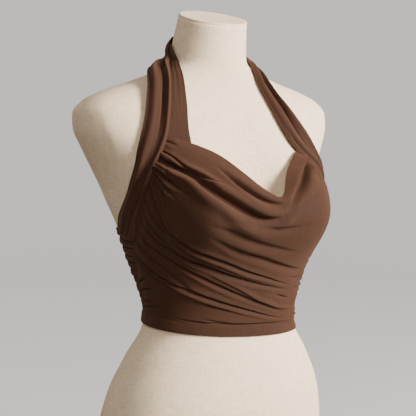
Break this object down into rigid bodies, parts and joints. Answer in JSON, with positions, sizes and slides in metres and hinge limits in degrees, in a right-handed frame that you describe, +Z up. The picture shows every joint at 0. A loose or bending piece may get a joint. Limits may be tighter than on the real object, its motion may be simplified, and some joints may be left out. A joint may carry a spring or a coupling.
{
  "type": "halter neck top on a limbless dress form",
  "caption": "Cropped halter neck top of draped jersey with a cowl front, filled out by a limbless linen dress form that stands on its flat base.",
  "frame": {"origin": "middle of the dress form's flat base, on the form's axis, at the surface it stands on", "axes": "+Z up along the form, -Y out of its chest, +X towards the wearer's left"},
  "size_m": [0.3954, 0.2897, 0.6812],
  "materials": {
    "jersey": "matte brown jersey with a soft sheen",
    "linen": "matte natural linen"
  },
  "bodies": {
    "root": {"dress_form": "linen", "neck_cap": "linen", "front_panel": "jersey", "back_panel": "jersey", "hem_band": "jersey", "under_strap_right": "jersey", "strap_right": "jersey", "strap_left": "jersey"}
  },
  "joints": []
}
